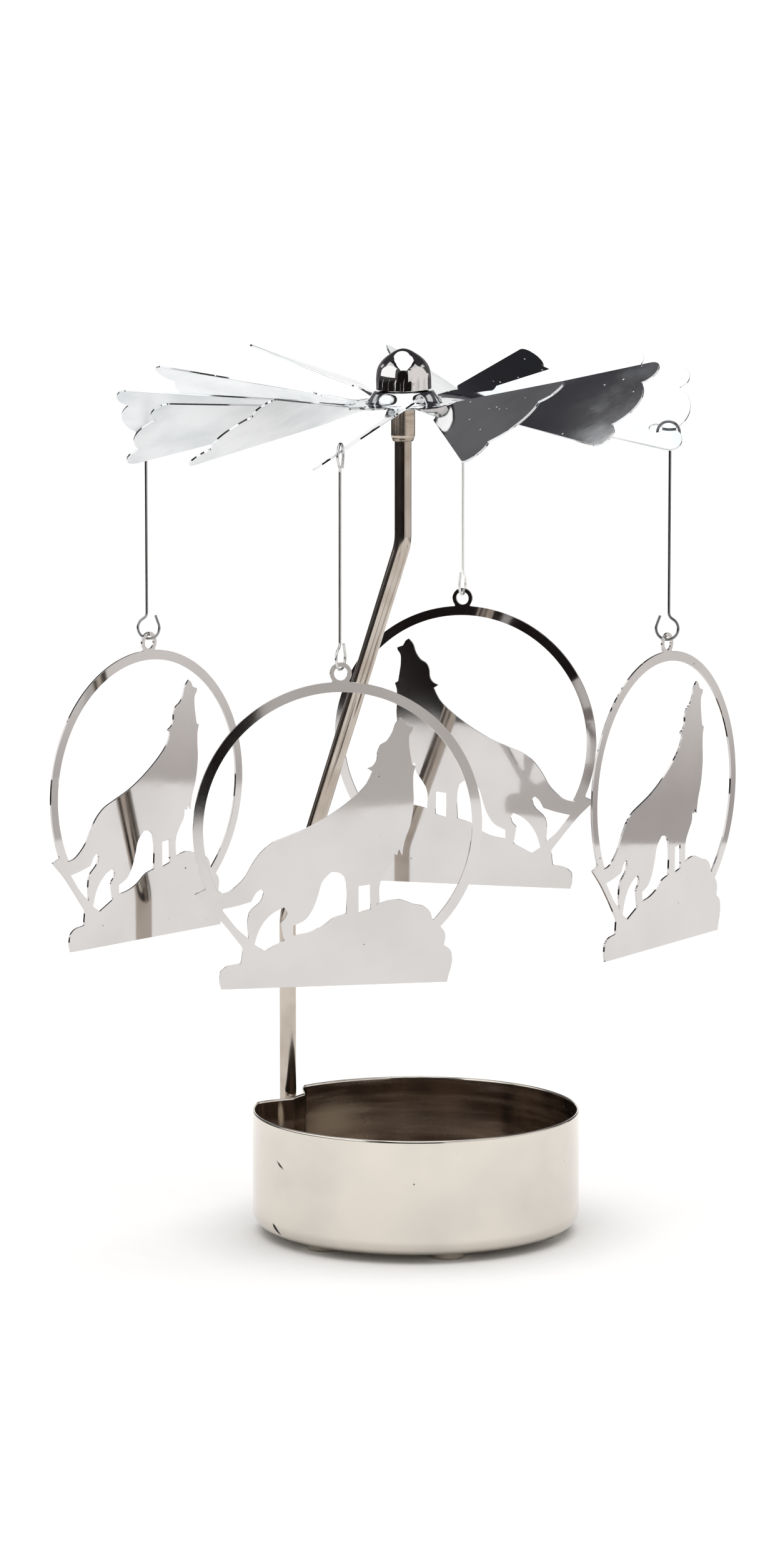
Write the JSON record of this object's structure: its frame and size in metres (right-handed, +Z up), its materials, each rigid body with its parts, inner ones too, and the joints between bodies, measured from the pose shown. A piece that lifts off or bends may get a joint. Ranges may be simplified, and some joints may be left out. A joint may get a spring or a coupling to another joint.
{
  "type": "candle carousel",
  "caption": "Tealight cup with a bent post and a needle pivot, on which a bladed rotor with hanging pierced pendants turns in the candle's warm air.",
  "frame": {"origin": "centre of the cup's floor, on the face that the candle stands on", "axes": "+Z up along the cup's axis, +Y away from the viewer, +X to the right in the picture"},
  "size_m": [0.1267, 0.1046, 0.1628],
  "materials": {
    "polished_nickel": "polished warm nickel plate",
    "dark_nickel": "polished warm nickel plate, darker",
    "steel_needle": "ground steel",
    "bright_sheet": "bright plated sheet",
    "steel_wire": "bright drawn wire",
    "pendant_sheet": "bright plated sheet with fine handling marks"
  },
  "bodies": {
    "stand": {"cup": "polished_nickel", "post": "polished_nickel", "pivot_sleeve": "dark_nickel", "pivot_needle": "steel_needle"},
    "rotor": {"rotor": "bright_sheet", "pivot_cap": "bright_sheet"},
    "hook_front": {"hook_front": "steel_wire"},
    "hook_right": {"hook_right": "steel_wire"},
    "hook_back": {"hook_back": "steel_wire"},
    "hook_left": {"hook_left": "steel_wire"},
    "pendant_front": {"pendant_front": "pendant_sheet"},
    "pendant_right": {"pendant_right": "pendant_sheet"},
    "pendant_back": {"pendant_back": "pendant_sheet"},
    "pendant_left": {"pendant_left": "pendant_sheet"}
  },
  "joints": [
    {"name": "rotor_spin", "type": "hinge", "parent": "stand", "child": "rotor", "pos_m": [-0.0024, 0, 0.1602], "axis": [0, 0, 1], "continuous": true},
    {"name": "hook_swing_front", "type": "hinge", "parent": "rotor", "child": "hook_front", "pos_m": [-0.01334, -0.047, 0.14564], "axis": [-0.9724, 0.2334, 0], "range_deg": [-8, 25]},
    {"name": "hook_swing_right", "type": "hinge", "parent": "rotor", "child": "hook_right", "pos_m": [0.04521, -0.01069, 0.14652], "axis": [-0.1305, -0.9914, 0], "range_deg": [-8, 25]},
    {"name": "hook_swing_back", "type": "hinge", "parent": "rotor", "child": "hook_back", "pos_m": [0.00904, 0.04781, 0.14806], "axis": [0.9763, -0.2164, 0], "range_deg": [-8, 25]},
    {"name": "hook_swing_left", "type": "hinge", "parent": "rotor", "child": "hook_left", "pos_m": [-0.04924, 0.01172, 0.14399], "axis": [0.1305, 0.9914, 0], "range_deg": [-8, 25]},
    {"name": "pendant_swing_front", "type": "hinge", "parent": "hook_front", "child": "pendant_front", "pos_m": [-0.01334, -0.047, 0.10824], "axis": [0.1908, -0.9816, 0], "range_deg": [-20, 20]},
    {"name": "pendant_swing_right", "type": "hinge", "parent": "hook_right", "child": "pendant_right", "pos_m": [0.04521, -0.01069, 0.10912], "axis": [0.8387, -0.5446, 0], "range_deg": [-20, 20]},
    {"name": "pendant_swing_back", "type": "hinge", "parent": "hook_back", "child": "pendant_back", "pos_m": [0.00904, 0.04781, 0.11066], "axis": [0.1736, 0.9848, 0], "range_deg": [-20, 20]},
    {"name": "pendant_swing_left", "type": "hinge", "parent": "hook_left", "child": "pendant_left", "pos_m": [-0.04924, 0.01172, 0.10659], "axis": [-0.7193, 0.6947, 0], "range_deg": [-20, 20]}
  ]
}
